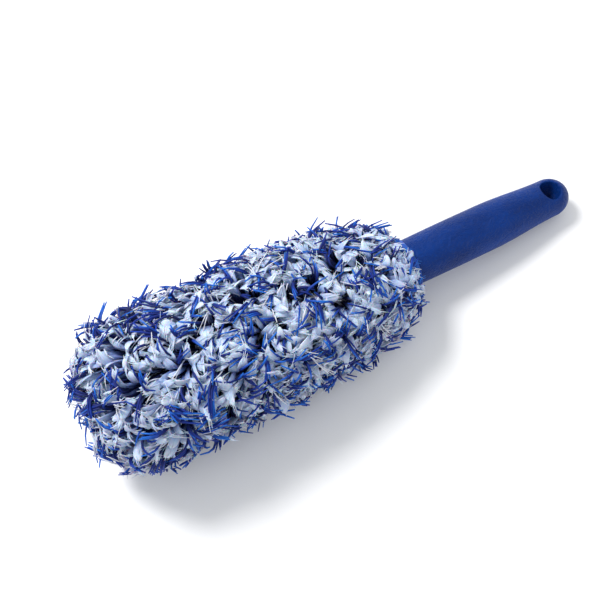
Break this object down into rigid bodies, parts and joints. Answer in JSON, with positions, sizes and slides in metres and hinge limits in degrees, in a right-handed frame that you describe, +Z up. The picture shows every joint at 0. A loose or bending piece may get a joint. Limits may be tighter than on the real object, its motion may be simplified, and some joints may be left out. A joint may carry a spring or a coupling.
{
  "type": "wheel brush",
  "caption": "Car wheel cleaning brush: a long plush microfibre sleeve on a flexible foam-covered core, with a plain rounded handle and a hanging hole.",
  "frame": {"origin": "on the table under the middle of the brush's bounding box", "axes": "+X towards the hanging-hole end of the handle, +Y sideways, +Z up; the brush's own axis leans 7 degrees below +X, because it lies on its pile and on the end of its handle"},
  "size_m": [0.3628, 0.09, 0.0859],
  "materials": {
    "handle_plastic": "satin moulded polypropylene with a fine grain",
    "plug_plastic": "matte moulded nylon",
    "spine_plastic": "matte flexible polyethylene",
    "foam": "closed-cell foam",
    "backing_cloth": "knitted polyester backing",
    "hem_cloth": "woven binding",
    "elastic": "flat braided elastic",
    "pile_yarn": "long white plush tufts with thin deep-blue filaments"
  },
  "bodies": {
    "handle": {"handle": "handle_plastic", "neck_plug": "plug_plastic", "spine_tang": "spine_plastic"},
    "core": {"spine": "spine_plastic", "foam_upper": "foam", "foam_lower": "foam"},
    "sleeve": {"backing_upper": "backing_cloth", "backing_lower": "backing_cloth", "side_seam": "hem_cloth", "hem_band": "hem_cloth", "hem_elastic": "elastic", "pile_upper": "pile_yarn", "pile_lower": "pile_yarn"}
  },
  "joints": [
    {"name": "neck_bend", "type": "hinge", "parent": "handle", "child": "core", "pos_m": [0.03752, 0, 0.02883], "axis": [0.1219, 0, 0.9925], "range_deg": [-12, 12], "stiffness_Nm_per_rad": 6},
    {"name": "sleeve_pull_off", "type": "slide", "parent": "core", "child": "sleeve", "axis": [-0.9925, 0, 0.1219], "range_m": [0, 0.22]}
  ]
}
